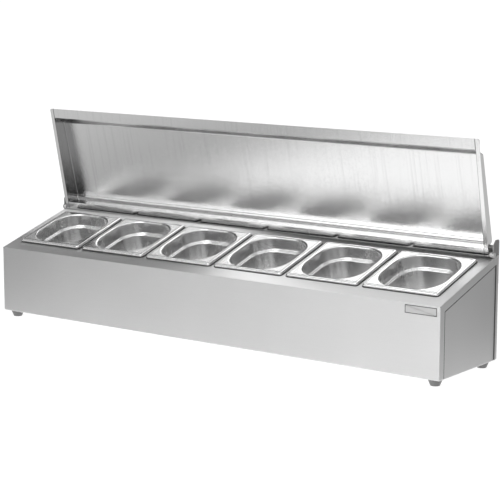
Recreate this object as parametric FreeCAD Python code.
"""Countertop topping rack: a row of gastronorm pans in a sloping folded body, under a hinged lid."""
import FreeCAD, Part
import math
import os

Vec = FreeCAD.Vector
X_AXIS = Vec(1, 0, 0)
Y_AXIS = Vec(0, 1, 0)
Z_AXIS = Vec(0, 0, 1)

# Pans: gastronorm 1/6, with the longer side along the rack
PAN_COUNT = 6
PAN_LENGTH = 176.0
PAN_WIDTH = 162.0
PAN_DEPTH = 100.0
PAN_SHEET = 0.8
PAN_GAP = 10.5
PAN_PLAY = 1.0
PAN_SEAT_GAP = 0.02
RIM_WIDTH = 12.5
RIM_DEPTH = 8.5
RIM_DROP = 7.0
RIM_CORNER = 6.0
RIM_EDGE_RADIUS = 3.5
MOUTH_RADIUS = 4.0
MOUTH_CORNER = 52.0
SHOULDER_DEPTH = 30.0
SHOULDER_STEP = 8.0
SHOULDER_RADIUS = 3.0
UPPER_TAPER = 1.0
LOWER_TAPER = 6.0
PAN_BOTTOM_RADIUS = 14.0

# Body: folded sheet, with a deck that rises to the back
FRONT_HEIGHT = 147.0
DECK_SLOPE = 17.0
FRONT_STRIP = 35.5
REAR_STRIP = 43.0
END_STRIP = 25.75
SHEET = 1.0
BEND = 2.0
FACE_RETURN = 16.0
BACK_RETURN = 10.0
BOTTOM_FLANGE = 16.0
CUTOUT_CORNER = 10.0
CUTOUT_FLANGE = 12.0
SEAM = 0.3
LAP = 12.0
BASE_INSET = 1.0

# Lid: a tray that is deeper at the hinge, with a flange all round
LID_OPEN = 95.0
LID_SHEET = 1.0
LID_END_BEND = 3.0
LID_FRONT_BEND = 5.0
LID_REAR_BEND = 9.0
LID_END_GAP = 11.0
LID_SIDE_FLANGE = 8.5
LID_FRONT_HEIGHT = 29.0
LID_REAR_HEIGHT = 36.0
LID_FRONT_RUN = 19.5
LIP_WIDTH = 20.5
LIP_OVERHANG = 21.5
LIP_FOLD = 10.0
LIP_CORNER = 4.0
REAR_LEDGE = 13.0

# Hinge: pins through two ears into the barrel rolled along the lid's rear edge
HINGE_SETBACK = 18.0
PIN_RADIUS = 4.0
PIN_CLEARANCE = 0.05
PIN_ENGAGEMENT = 40.0
PIN_HEAD_RADIUS = 5.5
PIN_HEAD_HEIGHT = 1.5
BARREL_GAP = 0.6
BARREL_SLIT = 1.2
SPACER_RADIUS = 4.8
SPACER_GAP = 0.2
EAR_SHEET = 2.0
EAR_INSET = 1.5
EAR_FRONT = 4.0
EAR_HEIGHT = 30.0
EAR_SHOULDER = 10.0
EAR_TOP_WIDTH = 14.0
EAR_LIFT = 0.4
EAR_CORNER = 4.0
TAB_WIDTH = 34.0
TAB_HEIGHT = 36.0
TAB_DROP = 24.0
STOP_REACH = 26.0
STOP_START = 12.0
STOP_LENGTH = 15.0
STOP_GAP = 0.2
REAR_OVERHANG = 7.2

# Feet and fasteners
FOOT_HEIGHT = 15.0
FOOT_TOP_RADIUS = 16.0
FOOT_BOTTOM_RADIUS = 9.5
FOOT_NUT_GAP = 0.4
FOOT_EDGE_RADIUS = 1.0
FOOT_WELL_RADIUS = 6.0
FOOT_WELL_DEPTH = 9.0
FOOT_SCREW_RADIUS = 2.5
BRACKET_SCREW_RADIUS = 2.0
SCREW_CLEARANCE = 0.2
THREAD_CLEARANCE = 0.05
HEAD_TO_SHANK = 1.9
HEAD_HEIGHT_TO_SHANK = 1.3
NUT_TO_SHANK = 1.85
NUT_HEIGHT_TO_SHANK = 1.6
THREAD_END = 1.5
WASHER_RADIUS = 5.5
WASHER_SHEET = 1.0
BRACKET_SCREW_SPACING = 18.0
RIVET_RADIUS = 2.0
RIVET_HEAD_RADIUS = 3.8
RIVET_HEAD_HEIGHT = 1.1
RIVET_BULB_RADIUS = 2.7
RIVET_BULB_HEIGHT = 3.0
RIVET_COUNT = 5
DRILL_LENGTH = 4.0

# Sizes that follow from those above
SLOPE = math.radians(DECK_SLOPE)
PANS_SPAN = PAN_COUNT * PAN_LENGTH + (PAN_COUNT - 1) * PAN_GAP
LENGTH = PANS_SPAN + 2 * END_STRIP
DECK_LENGTH = FRONT_STRIP + PAN_WIDTH + REAR_STRIP
DEPTH = DECK_LENGTH * math.cos(SLOPE)
BODY_BOTTOM = FOOT_HEIGHT + SHEET
FRONT_TOP = FOOT_HEIGHT + FRONT_HEIGHT
BARREL_BORE = PIN_RADIUS + PIN_CLEARANCE
BARREL_RADIUS = BARREL_BORE + LID_SHEET
AXIS_ALONG = DECK_LENGTH - HINGE_SETBACK
AXIS_ABOVE = BARREL_RADIUS + BARREL_GAP
LID_WIDTH = LENGTH - 2 * LID_END_GAP
LID_REACH = AXIS_ALONG + LIP_OVERHANG
LIP_START = LID_REACH - LIP_WIDTH
EAR_OUTSIDE = LENGTH / 2 - EAR_INSET
EAR_INSIDE = EAR_OUTSIDE - EAR_SHEET
FOOT_INSET = SHEET + BOTTOM_FLANGE + NUT_TO_SHANK * FOOT_SCREW_RADIUS + FOOT_NUT_GAP
FOOT_PLACES = [
    Vec(across * (LENGTH / 2 - FOOT_INSET), along * (DEPTH / 2 - FOOT_INSET), 0)
    for along in (-1, 1)
    for across in (-1, 1)
]

# The body is built about its own middle, then moved so that the rack with its open lid is centred
CENTRING = Vec(0, -REAR_OVERHANG / 2, 0)

# The deck's frame has its origin at the middle of the front bend, X along it and Y up the slope
DECK = FreeCAD.Placement(Vec(0, -DEPTH / 2, FRONT_TOP), FreeCAD.Rotation(X_AXIS, DECK_SLOPE))
HINGE = DECK.multiply(FreeCAD.Placement(Vec(0, AXIS_ALONG, AXIS_ABOVE), FreeCAD.Rotation()))
LID_POSE = HINGE.multiply(FreeCAD.Placement(Vec(), FreeCAD.Rotation(X_AXIS, -LID_OPEN)))


def placed(shape, placement):
    """Return the shape moved from a local frame into the rack's frame."""
    moved = shape.copy()
    moved.Placement = placement.multiply(shape.Placement)
    return moved


def mirrored(shape):
    """Return the left-hand twin of a right-hand shape."""
    return shape.mirror(Vec(), X_AXIS)


def block(low, high):
    """Return a box between two opposite corners."""
    size = high.sub(low)
    return Part.makeBox(size.x, size.y, size.z, low)


def side_prism(outline, start, end):
    """Extrude an outline of (y, z) points along X."""
    wire = Part.makePolygon([Vec(start, y, z) for y, z in outline + outline[:1]])
    return Part.Face(wire).extrude(Vec(end - start, 0, 0))


def moved_in(outline, distances):
    """Move each edge of an anticlockwise outline inwards by its own distance."""
    lines = []
    for index, (start, distance) in enumerate(zip(outline, distances)):
        end = outline[(index + 1) % len(outline)]
        run = (end[0] - start[0], end[1] - start[1])
        length = math.hypot(*run)
        normal = (-run[1] / length, run[0] / length)
        lines.append((normal, normal[0] * start[0] + normal[1] * start[1] + distance))
    corners = []
    for index, (second, reach) in enumerate(lines):
        first, offset = lines[index - 1]
        turn = first[0] * second[1] - first[1] * second[0]
        corners.append((
            (offset * second[1] - reach * first[1]) / turn,
            (first[0] * reach - second[0] * offset) / turn,
        ))
    return corners


def rounded_rectangle(width, depth, corner, level):
    """Return a closed wire, centred on the Z axis, with round corners."""
    across = width / 2 - corner
    along = depth / 2 - corner
    edges = []
    last = None
    centres = ((across, along), (-across, along), (-across, -along), (across, -along))
    for quarter, (x, y) in enumerate(centres):
        turn = math.pi / 2 * quarter
        start = Vec(x + corner * math.cos(turn), y + corner * math.sin(turn), level)
        end = Vec(x - corner * math.sin(turn), y + corner * math.cos(turn), level)
        middle_turn = turn + math.pi / 4
        middle = Vec(x + corner * math.cos(middle_turn), y + corner * math.sin(middle_turn), level)
        if last is not None:
            edges.append(Part.makeLine(last, start))
        edges.append(Part.Arc(start, middle, end).toShape())
        last = end
    edges.append(Part.makeLine(last, edges[0].Vertexes[0].Point))
    return Part.Wire(edges)


def rounded_slab(width, depth, corner, low, high):
    """Return a flat slab with round corners between two levels."""
    face = Part.Face(rounded_rectangle(width, depth, corner, low))
    return face.extrude(Vec(0, 0, high - low))


def flat_edges(shape, level):
    """Return the edges that lie in one level plane."""
    tolerance = 1e-4
    return [
        edge for edge in shape.Edges
        if abs(edge.BoundBox.ZMin - level) < tolerance and abs(edge.BoundBox.ZMax - level) < tolerance
    ]


def rounded_outline(points, radii):
    """Return a closed wire in the XZ plane through (x, z) points, with an arc of its own radius at each."""
    ends = []
    for index, (point, radius) in enumerate(zip(points, radii)):
        here = Vec(point[0], 0, point[1])
        before = Vec(points[index - 1][0], 0, points[index - 1][1]).sub(here).normalize()
        after_point = points[(index + 1) % len(points)]
        after = Vec(after_point[0], 0, after_point[1]).sub(here).normalize()
        half_angle = before.getAngle(after) / 2
        reach = radius / math.tan(half_angle)
        inward = before.add(after).normalize()
        middle = here.add(inward * (radius / math.sin(half_angle) - radius))
        ends.append((here.add(before * reach), middle, here.add(after * reach)))
    edges = []
    for index, (arc_start, middle, arc_end) in enumerate(ends):
        if radii[index] > 0:
            edges.append(Part.Arc(arc_start, middle, arc_end).toShape())
        edges.append(Part.makeLine(arc_end, ends[(index + 1) % len(ends)][0]))
    return Part.Wire(edges)


def swept_round(outline, length, width, corner):
    """Sweep a wall outline round a rectangle with round corners, and fill the middle.

    The outline's x is measured from the corners' own axes, so a wall that leans in keeps a round corner.
    """
    face = Part.Face(outline)
    across = length / 2 - corner
    along = width / 2 - corner
    quarter = face.revolve(Vec(), Z_AXIS, 90)
    long_side = face.copy().rotate(Vec(), Z_AXIS, 90).extrude(Vec(-2 * across, 0, 0))
    short_side = face.extrude(Vec(0, -2 * along, 0))
    box = outline.BoundBox
    middle = block(Vec(-across, -along, box.ZMin), Vec(across, along, box.ZMax))
    right = [shape.translated(Vec(across, along, 0)) for shape in (quarter, long_side, short_side)]
    half = right + [mirrored(right[0])]
    walls = [shape.copy().rotate(Vec(), Z_AXIS, turn) for turn in (0, 180) for shape in half]
    return middle.fuse(walls).removeSplitter()


def pan_form(wall):
    """Return the pan's drawn form, flared at the mouth and moved in from its outer skin by a wall."""
    corner = MOUTH_CORNER - wall
    level = RIM_DROP - PAN_SHEET + wall
    shoulder = RIM_DROP - SHOULDER_DEPTH + wall
    bottom = RIM_DROP - PAN_DEPTH + wall
    flare = MOUTH_RADIUS - PAN_SHEET + wall
    ledge = corner - UPPER_TAPER
    step = ledge - SHOULDER_STEP
    foot = step - LOWER_TAPER
    top = level + PAN_SHEET
    points = [
        (0, bottom), (foot, bottom), (step, shoulder), (ledge, shoulder),
        (corner, level), (corner + 2 * flare, level), (corner + 2 * flare, top), (0, top),
    ]
    radii = [0, PAN_BOTTOM_RADIUS - wall, SHOULDER_RADIUS, SHOULDER_RADIUS, flare, 0, 0, 0]
    length = PAN_LENGTH - 2 * (RIM_WIDTH + wall)
    width = PAN_WIDTH - 2 * (RIM_DEPTH + wall)
    return swept_round(rounded_outline(points, radii), length, width, corner)


def pan_rim():
    """Return the flat rim with its edge turned down onto the deck."""
    cap = rounded_slab(PAN_LENGTH, PAN_WIDTH, RIM_CORNER, 0, RIM_DROP)
    cap = cap.makeFillet(RIM_EDGE_RADIUS, flat_edges(cap, RIM_DROP))
    under = RIM_DROP - PAN_SHEET
    hollow = rounded_slab(
        PAN_LENGTH - 2 * PAN_SHEET, PAN_WIDTH - 2 * PAN_SHEET, RIM_CORNER - PAN_SHEET, 0, under
    )
    hollow = hollow.makeFillet(RIM_EDGE_RADIUS - PAN_SHEET, flat_edges(hollow, under))
    return cap.cut(hollow)


def pan():
    """Return one pan in the deck's frame, with its rim centred on the origin."""
    skin = pan_rim().fuse(pan_form(0.0)).removeSplitter()
    return skin.cut(pan_form(PAN_SHEET)).removeSplitter().translated(Vec(0, 0, PAN_SEAT_GAP))


def pan_places():
    """Return the middle of each pan's seat in the deck's frame, from left to right."""
    pitch = PAN_LENGTH + PAN_GAP
    first = -pitch * (PAN_COUNT - 1) / 2
    middle = FRONT_STRIP + PAN_WIDTH / 2
    return [Vec(first + pitch * index, middle, 0) for index in range(PAN_COUNT)]


def body_outline():
    """Return the body's section as (y, z) points, anticlockwise seen from the right."""
    front = -DEPTH / 2
    back = DEPTH / 2
    back_top = FRONT_TOP + DEPTH * math.tan(SLOPE)
    return [(front, BODY_BOTTOM), (back, BODY_BOTTOM), (back, back_top), (front, FRONT_TOP)]


def envelope(inset):
    """Return the body's closed form, moved in by a thickness, with its folds rounded."""
    outline = moved_in(body_outline(), [inset] * 4)
    half = LENGTH / 2 - inset
    form = side_prism(outline, -half, half)
    return form.makeFillet(BEND - inset, form.Edges)


def deck_zone(margin):
    """Return the zone that belongs to the deck and to its returns on the sides and the back."""
    reach = LENGTH / 2 + SHEET
    low = Vec(-reach, -DECK_LENGTH, -FACE_RETURN - margin)
    high = Vec(reach, 2 * DECK_LENGTH, FACE_RETURN)
    return placed(block(low, high), DECK)


def back_zone(side_return):
    """Return the zone of a back wall, its returns onto the sides and its bottom flange."""
    inside = BODY_BOTTOM + SHEET
    wall = block(Vec(-LENGTH, DEPTH / 2 - side_return, inside), Vec(LENGTH, DEPTH, 2 * FRONT_TOP))
    flange = block(Vec(-LENGTH, DEPTH / 2 - BOTTOM_FLANGE, 0), Vec(LENGTH, DEPTH, inside))
    return wall.fuse(flange)


def front_zone():
    """Return the zone of the front wall, its returns onto the sides and its bottom flange."""
    return back_zone(FACE_RETURN).mirror(Vec(), Y_AXIS)


def cutouts():
    """Return the deck's cut-outs, one for each pan, and the edges turned down along their long sides."""
    length = PAN_LENGTH - 2 * (RIM_WIDTH - PAN_PLAY)
    width = PAN_WIDTH - 2 * (RIM_DEPTH - PAN_PLAY)
    hole = rounded_slab(length, width, CUTOUT_CORNER, -CUTOUT_FLANGE, SHEET)
    straight = length / 2 - CUTOUT_CORNER
    rear_edge = block(
        Vec(-straight, width / 2, -CUTOUT_FLANGE), Vec(straight, width / 2 + SHEET, -SHEET / 2)
    )
    front_edge = rear_edge.mirror(Vec(), Y_AXIS)
    holes = [placed(hole.translated(place), DECK) for place in pan_places()]
    edges = [
        placed(edge.translated(place), DECK)
        for place in pan_places()
        for edge in (rear_edge, front_edge)
    ]
    return holes, edges


def rivet_places():
    """Return the foot of each base rivet: along the front and back flanges and at mid-depth on the sides."""
    inset = BOTTOM_FLANGE / 2
    step = (LENGTH - 4 * FOOT_INSET) / (RIVET_COUNT - 1)
    first = -LENGTH / 2 + 2 * FOOT_INSET
    places = [
        Vec(first + step * index, side * (DEPTH / 2 - inset), FOOT_HEIGHT)
        for side in (-1, 1)
        for index in range(RIVET_COUNT)
    ]
    places += [Vec(side * (LENGTH / 2 - SHEET - inset), 0, FOOT_HEIGHT) for side in (-1, 1)]
    return places


def drilled(shape, places, radius):
    """Cut upright round holes through the sheets of the underside."""
    for place in places:
        hole = Part.makeCylinder(radius, DRILL_LENGTH, Vec(place.x, place.y, FOOT_HEIGHT - SHEET))
        shape = shape.cut(hole)
    return shape


def front_deck_shell(hollow):
    """Return the front wall and deck, folded from one sheet."""
    holes, edges = cutouts()
    shell = hollow.common(front_zone().fuse(deck_zone(0.0)))
    shell = shell.cut(holes).fuse(edges).removeSplitter()
    return drilled(shell, rivet_places(), RIVET_RADIUS + THREAD_CLEARANCE)


def back_panel(hollow):
    """Return the rear sheet, joggled behind the deck's rear return and drilled for the brackets."""
    panel = hollow.common(back_zone(BACK_RETURN)).cut(deck_zone(SEAM))
    seam_level = FRONT_TOP + DEPTH * math.tan(SLOPE) - FACE_RETURN / math.cos(SLOPE)
    half = LENGTH / 2 - BEND - 2 * SHEET
    lap = block(
        Vec(-half, DEPTH / 2 - 2 * SHEET, seam_level - LAP),
        Vec(half, DEPTH / 2 - SHEET, seam_level + LAP)
    )
    panel = panel.fuse(lap).removeSplitter()
    for place in bracket_screw_places():
        panel = panel.cut(Part.makeCylinder(
            BRACKET_SCREW_RADIUS + SCREW_CLEARANCE, DRILL_LENGTH, place.sub(Vec(0, 3 * SHEET, 0)), Y_AXIS
        ))
    return drilled(panel, rivet_places(), RIVET_RADIUS + THREAD_CLEARANCE)


def side_panel():
    """Return the right side sheet, behind the returns, with its bottom flange."""
    outside = LENGTH / 2 - SHEET
    margin = SHEET + BEND
    outline = moved_in(body_outline(), [margin] * 4)
    sheet = side_prism(outline, outside - SHEET, outside)
    flange_end = DEPTH / 2 - BOTTOM_FLANGE - SEAM
    flange = block(
        Vec(outside - BOTTOM_FLANGE, -flange_end, BODY_BOTTOM),
        Vec(outside, flange_end, BODY_BOTTOM + SHEET)
    )
    fold = block(
        Vec(outside - SHEET, -flange_end, BODY_BOTTOM),
        Vec(outside, flange_end, BODY_BOTTOM + margin + SHEET)
    )
    panel = sheet.fuse([flange, fold]).removeSplitter()
    return drilled(panel, rivet_places(), RIVET_RADIUS + THREAD_CLEARANCE)


def base_plate():
    """Return the underside sheet, drilled for the feet and the rivets."""
    plate = rounded_slab(
        LENGTH - 2 * BASE_INSET, DEPTH - 2 * BASE_INSET, BEND + BASE_INSET, FOOT_HEIGHT, FOOT_HEIGHT + SHEET
    )
    plate = drilled(plate, FOOT_PLACES, FOOT_SCREW_RADIUS + SCREW_CLEARANCE)
    return drilled(plate, rivet_places(), RIVET_RADIUS + THREAD_CLEARANCE)


def base_rivets():
    """Return the blind rivets: a low head below, a shank and a set bulb above."""
    grip = 2 * SHEET
    head = Part.makeCone(RIVET_HEAD_RADIUS - RIVET_HEAD_HEIGHT, RIVET_HEAD_RADIUS, RIVET_HEAD_HEIGHT)
    head = head.translated(Vec(0, 0, -RIVET_HEAD_HEIGHT))
    shank = Part.makeCylinder(RIVET_RADIUS, grip)
    bulb = Part.makeCylinder(RIVET_BULB_RADIUS, RIVET_BULB_HEIGHT, Vec(0, 0, grip))
    rivet = head.fuse([shank, bulb]).removeSplitter()
    return Part.makeCompound([rivet.translated(place) for place in rivet_places()])


def foot():
    """Return one tapered foot with a well for its screw, standing on the origin."""
    cone = Part.makeCone(FOOT_BOTTOM_RADIUS, FOOT_TOP_RADIUS, FOOT_HEIGHT)
    cone = cone.makeFillet(FOOT_EDGE_RADIUS, flat_edges(cone, 0.0))
    well = Part.makeCylinder(FOOT_WELL_RADIUS, FOOT_WELL_DEPTH)
    hole = Part.makeCylinder(FOOT_SCREW_RADIUS + SCREW_CLEARANCE, FOOT_HEIGHT)
    return cone.cut(well.fuse(hole))


def screw(radius, length):
    """Return a pan-head screw, with its seat at the origin and its shank along +Z."""
    head_height = HEAD_HEIGHT_TO_SHANK * radius
    head = Part.makeCylinder(HEAD_TO_SHANK * radius, head_height, Vec(0, 0, -head_height))
    head = head.makeFillet(head_height / 2, flat_edges(head, -head_height))
    return head.fuse(Part.makeCylinder(radius, length)).removeSplitter()


def nut(radius):
    """Return a hexagon nut that stands on the origin."""
    reach = NUT_TO_SHANK * radius
    corners = [
        Vec(reach * math.cos(math.pi / 3 * turn), reach * math.sin(math.pi / 3 * turn), 0)
        for turn in range(7)
    ]
    height = NUT_HEIGHT_TO_SHANK * radius
    hexagon = Part.Face(Part.makePolygon(corners)).extrude(Vec(0, 0, height))
    return hexagon.cut(Part.makeCylinder(radius + THREAD_CLEARANCE, height))


def foot_fasteners():
    """Return the screws, washers and nuts of the feet, each as a group of solids."""
    seat = FOOT_WELL_DEPTH - WASHER_SHEET
    nut_level = FOOT_HEIGHT + SHEET
    shank = nut_level + NUT_HEIGHT_TO_SHANK * FOOT_SCREW_RADIUS + THREAD_END - seat
    bolt = screw(FOOT_SCREW_RADIUS, shank).translated(Vec(0, 0, seat))
    ring = Part.makeCylinder(WASHER_RADIUS, WASHER_SHEET)
    ring = ring.cut(Part.makeCylinder(FOOT_SCREW_RADIUS + SCREW_CLEARANCE, WASHER_SHEET))
    ring = ring.translated(Vec(0, 0, seat))
    hexagon = nut(FOOT_SCREW_RADIUS).translated(Vec(0, 0, nut_level))
    return {
        name: Part.makeCompound([shape.translated(place) for place in FOOT_PLACES])
        for name, shape in (("foot_screws", bolt), ("foot_washers", ring), ("foot_nuts", hexagon))
    }


def tab_bottom():
    """Return the level of the bracket tabs' lower edge on the back panel."""
    back_top = FRONT_TOP + DEPTH * math.tan(SLOPE)
    return back_top - TAB_DROP - TAB_HEIGHT


def right_bracket_screw_places():
    """Return where the right bracket's screws pass the back panel's outer face."""
    across = EAR_OUTSIDE - TAB_WIDTH / 2 - EAR_SHEET
    middle = tab_bottom() + TAB_HEIGHT / 2
    return [Vec(across, DEPTH / 2, middle + side * BRACKET_SCREW_SPACING / 2) for side in (-1, 1)]


def bracket_screw_places():
    """Return where all bracket screws pass the back panel's outer face."""
    right = right_bracket_screw_places()
    return right + [Vec(-place.x, place.y, place.z) for place in right]


def ear_outline():
    """Return the ear's outline as (y, z) points: over the deck in front, down the back behind."""
    front_foot = DECK.multVec(Vec(0, AXIS_ALONG - EAR_FRONT, EAR_LIFT))
    corner = DECK.multVec(Vec(0, DECK_LENGTH, EAR_LIFT))
    back = DEPTH / 2
    top = FRONT_TOP + DEPTH * math.tan(SLOPE) + EAR_HEIGHT
    rear = back + EAR_SHEET
    low = tab_bottom()
    return [
        (front_foot.y, front_foot.z), (back, corner.z + EAR_LIFT), (back, low), (rear, low),
        (rear, top), (rear - EAR_TOP_WIDTH, top), (front_foot.y, top - EAR_SHOULDER),
    ]


def hinge_bracket():
    """Return the right bracket: an ear, a tab on the back panel and a stop under the open lid."""
    ear = side_prism(ear_outline(), EAR_INSIDE, EAR_OUTSIDE)
    top = max(z for _, z in ear_outline())
    top_edges = [
        edge for edge in ear.Edges
        if edge.BoundBox.XLength > EAR_SHEET / 2 and edge.BoundBox.ZMin > top - EAR_SHEET
    ]
    ear = ear.makeFillet(EAR_CORNER, top_edges)
    tab = block(
        Vec(EAR_OUTSIDE - TAB_WIDTH, DEPTH / 2, tab_bottom()),
        Vec(EAR_OUTSIDE, DEPTH / 2 + EAR_SHEET, tab_bottom() + TAB_HEIGHT)
    )
    stop_top = -(REAR_LEDGE - STOP_GAP)
    stop = block(
        Vec(EAR_OUTSIDE - STOP_REACH, stop_top, STOP_START - BARREL_RADIUS),
        Vec(EAR_OUTSIDE, stop_top + EAR_SHEET, STOP_START + STOP_LENGTH - BARREL_RADIUS)
    )
    bracket = ear.fuse([tab, placed(stop, LID_POSE)]).removeSplitter()
    pin_hole = Part.makeCylinder(PIN_RADIUS + PIN_CLEARANCE, LENGTH, Vec(), X_AXIS)
    bracket = bracket.cut(placed(pin_hole, HINGE))
    for place in right_bracket_screw_places():
        hole = Part.makeCylinder(BRACKET_SCREW_RADIUS + SCREW_CLEARANCE, 2 * EAR_SHEET, place, Y_AXIS)
        bracket = bracket.cut(hole)
    return bracket


def bracket_fasteners():
    """Return the screws behind the brackets and their nuts inside the back panel, as two groups."""
    thread = EAR_SHEET + 2 * SHEET + NUT_HEIGHT_TO_SHANK * BRACKET_SCREW_RADIUS + THREAD_END
    forward = FreeCAD.Rotation(Z_AXIS, Vec(0, -1, 0))
    bolt = screw(BRACKET_SCREW_RADIUS, thread)
    bolt.Placement = FreeCAD.Placement(Vec(0, EAR_SHEET, 0), forward)
    hexagon = nut(BRACKET_SCREW_RADIUS)
    hexagon.Placement = FreeCAD.Placement(Vec(0, -SHEET, 0), forward)
    return {
        name: Part.makeCompound([shape.translated(place) for place in bracket_screw_places()])
        for name, shape in (("bracket_screws", bolt), ("bracket_nuts", hexagon))
    }


def pivot_pin():
    """Return the right pin: a head outside the ear and a shank into the barrel."""
    tip = LID_WIDTH / 2 - PIN_ENGAGEMENT
    chamfer = PIN_RADIUS / 3
    shank = Part.makeCylinder(PIN_RADIUS, EAR_OUTSIDE - tip - chamfer, Vec(tip + chamfer, 0, 0), X_AXIS)
    nose = Part.makeCone(PIN_RADIUS - chamfer, PIN_RADIUS, chamfer, Vec(tip, 0, 0), X_AXIS)
    head = Part.makeCylinder(PIN_HEAD_RADIUS, PIN_HEAD_HEIGHT, Vec(EAR_OUTSIDE, 0, 0), X_AXIS)
    rim = [edge for edge in head.Edges if edge.BoundBox.XMin > EAR_OUTSIDE + PIN_HEAD_HEIGHT / 2]
    head = head.makeFillet(PIN_HEAD_HEIGHT / 2, rim)
    return placed(head.fuse([shank, nose]).removeSplitter(), HINGE)


def pivot_spacer():
    """Return the right spacer, on the pin between the ear and the barrel."""
    start = LID_WIDTH / 2 + SPACER_GAP
    length = EAR_INSIDE - start
    ring = Part.makeCylinder(SPACER_RADIUS, length, Vec(start, 0, 0), X_AXIS)
    ring = ring.cut(Part.makeCylinder(PIN_RADIUS + PIN_CLEARANCE, length, Vec(start, 0, 0), X_AXIS))
    return placed(ring, HINGE)


def lid_form(outline, radii, half, bend):
    """Extrude a lid section of (y, z) points along X, and round the folds at its two ends."""
    wire = rounded_outline(outline, radii).rotate(Vec(), Z_AXIS, 90)
    form = Part.Face(wire.translated(Vec(-half, 0, 0))).extrude(Vec(2 * half, 0, 0))
    mouth = min(z for _, z in outline)
    end_folds = [
        edge for edge in form.Edges
        if edge.BoundBox.XLength < bend and edge.BoundBox.ZMax > mouth + bend
    ]
    return form.makeFillet(bend, end_folds)


def lid_tray():
    """Return the lid tray's outer form and its hollow in the hinge's frame, closed, front towards -Y."""
    floor = -BARREL_RADIUS
    outline = [
        (-LIP_START, floor), (-REAR_LEDGE, floor),
        (-REAR_LEDGE, floor + LID_REAR_HEIGHT), (-LIP_START + LID_FRONT_RUN, floor + LID_FRONT_HEIGHT),
    ]
    half = LID_WIDTH / 2 - LID_SIDE_FLANGE
    outer = lid_form(outline, [0, 0, LID_REAR_BEND, LID_FRONT_BEND], half, LID_END_BEND)
    inside = moved_in(outline, [0.0, LID_SHEET, LID_SHEET, LID_SHEET])
    radii = [0, 0, LID_REAR_BEND - LID_SHEET, LID_FRONT_BEND - LID_SHEET]
    return outer, lid_form(inside, radii, half - LID_SHEET, LID_END_BEND - LID_SHEET)


def barrel():
    """Return the roll along the lid's rear edge, open in a slit."""
    level = LID_SHEET - BARREL_RADIUS
    roll = Part.makeCylinder(BARREL_RADIUS, LID_WIDTH, Vec(-LID_WIDTH / 2, 0, 0), X_AXIS)
    slit = block(Vec(-LENGTH, -2 * BARREL_RADIUS, level), Vec(LENGTH, -BARREL_BORE / 2, level + BARREL_SLIT))
    return roll.cut(slit)


def lid():
    """Return the whole lid in the hinge's frame, closed: tray, flange, folded lip and rolled barrel."""
    floor = -BARREL_RADIUS
    tray, hollow = lid_tray()
    flange = rounded_slab(LID_WIDTH, 2 * LID_REACH, LIP_CORNER, floor, floor + LID_SHEET)
    fold = rounded_slab(LID_WIDTH, 2 * LIP_FOLD, LIP_CORNER, floor + LID_SHEET, floor + 2 * LID_SHEET)
    fold = fold.translated(Vec(0, LIP_FOLD - LID_REACH, 0))
    fold_end = block(Vec(-LID_WIDTH, -LID_REACH, floor), Vec(LID_WIDTH, LIP_FOLD - LID_REACH, -floor))
    flange_end = block(Vec(-LID_WIDTH, -LID_REACH, floor), Vec(LID_WIDTH, 0, -floor))
    bore = Part.makeCylinder(BARREL_BORE, LENGTH, Vec(-LENGTH / 2, 0, 0), X_AXIS)
    shape = tray.fuse(flange.common(flange_end)).cut(hollow)
    return shape.fuse([fold.common(fold_end), barrel()]).cut(bore).removeSplitter()


def build():
    """Return every piece of the rack by name."""
    hollow = envelope(0.0).cut(envelope(SHEET))
    right_side = side_panel()
    right_bracket = hinge_bracket()
    right_pin = pivot_pin()
    right_spacer = pivot_spacer()
    pieces = {
        "front_deck_shell": front_deck_shell(hollow),
        "back_panel": back_panel(hollow),
        "side_panel_left": mirrored(right_side),
        "side_panel_right": right_side,
        "base_plate": base_plate(),
        "base_rivets": base_rivets(),
        "hinge_bracket_left": mirrored(right_bracket),
        "hinge_bracket_right": right_bracket,
        "pivot_pin_left": mirrored(right_pin),
        "pivot_pin_right": right_pin,
        "pivot_spacer_left": mirrored(right_spacer),
        "pivot_spacer_right": right_spacer,
        "lid": placed(lid(), LID_POSE),
    }
    foot_names = ("foot_front_left", "foot_front_right", "foot_rear_left", "foot_rear_right")
    for name, place in zip(foot_names, FOOT_PLACES):
        pieces[name] = foot().translated(place)
    pieces.update(foot_fasteners())
    pieces.update(bracket_fasteners())
    one_pan = pan()
    for number, place in enumerate(pan_places(), start=1):
        pieces[f"pan_{number}"] = placed(one_pan.translated(place), DECK)
    return pieces


os.makedirs("parts", exist_ok=True)
for node, piece in build().items():
    shape = piece.translated(CENTRING)
    shape.exportStep(f"parts/{node}.step")
    print(node, len(shape.Solids), shape.isValid(), round(shape.Volume))
print("hinge axis", HINGE.Base.add(CENTRING))
